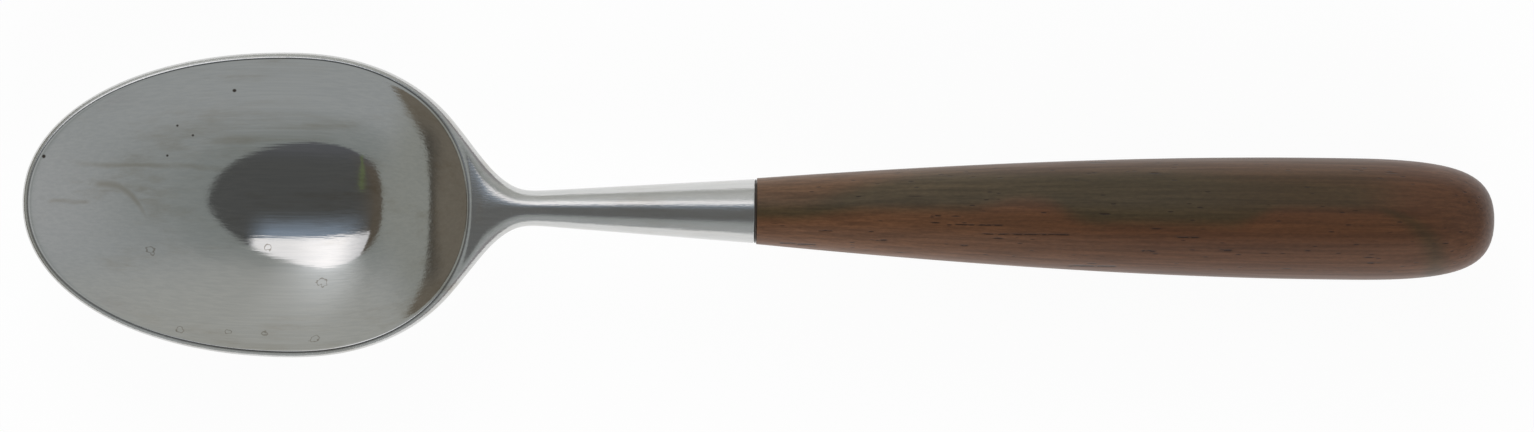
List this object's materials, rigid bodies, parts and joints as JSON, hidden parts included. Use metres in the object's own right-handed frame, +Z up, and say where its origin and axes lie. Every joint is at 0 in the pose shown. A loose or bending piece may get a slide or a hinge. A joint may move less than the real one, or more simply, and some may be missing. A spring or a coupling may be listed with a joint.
{
  "type": "teaspoon",
  "caption": "Teaspoon with an egg-shaped polished steel bowl, a slim neck that widens to a round bolster, and a turned dark wood handle with a rounded end, for stirring and for small helpings.",
  "frame": {"origin": "on the table, midway along the spoon and midway across it, with the spoon lying on its back", "axes": "+X from the bowl to the end of the handle, +Z up out of the open bowl, +Y across the spoon"},
  "size_m": [0.156, 0.0324, 0.013],
  "materials": {
    "polished_steel": "polished bowl, satin neck and bolster, fine wear scratches",
    "tang_steel": "plain drawn rod",
    "adhesive": "set dark brown resin",
    "rosewood": "oiled satin, dark bands and short open pores along the grain"
  },
  "bodies": {
    "root": {"spoon_head": "polished_steel", "tang": "tang_steel", "tang_adhesive": "adhesive", "handle": "rosewood"}
  },
  "joints": []
}
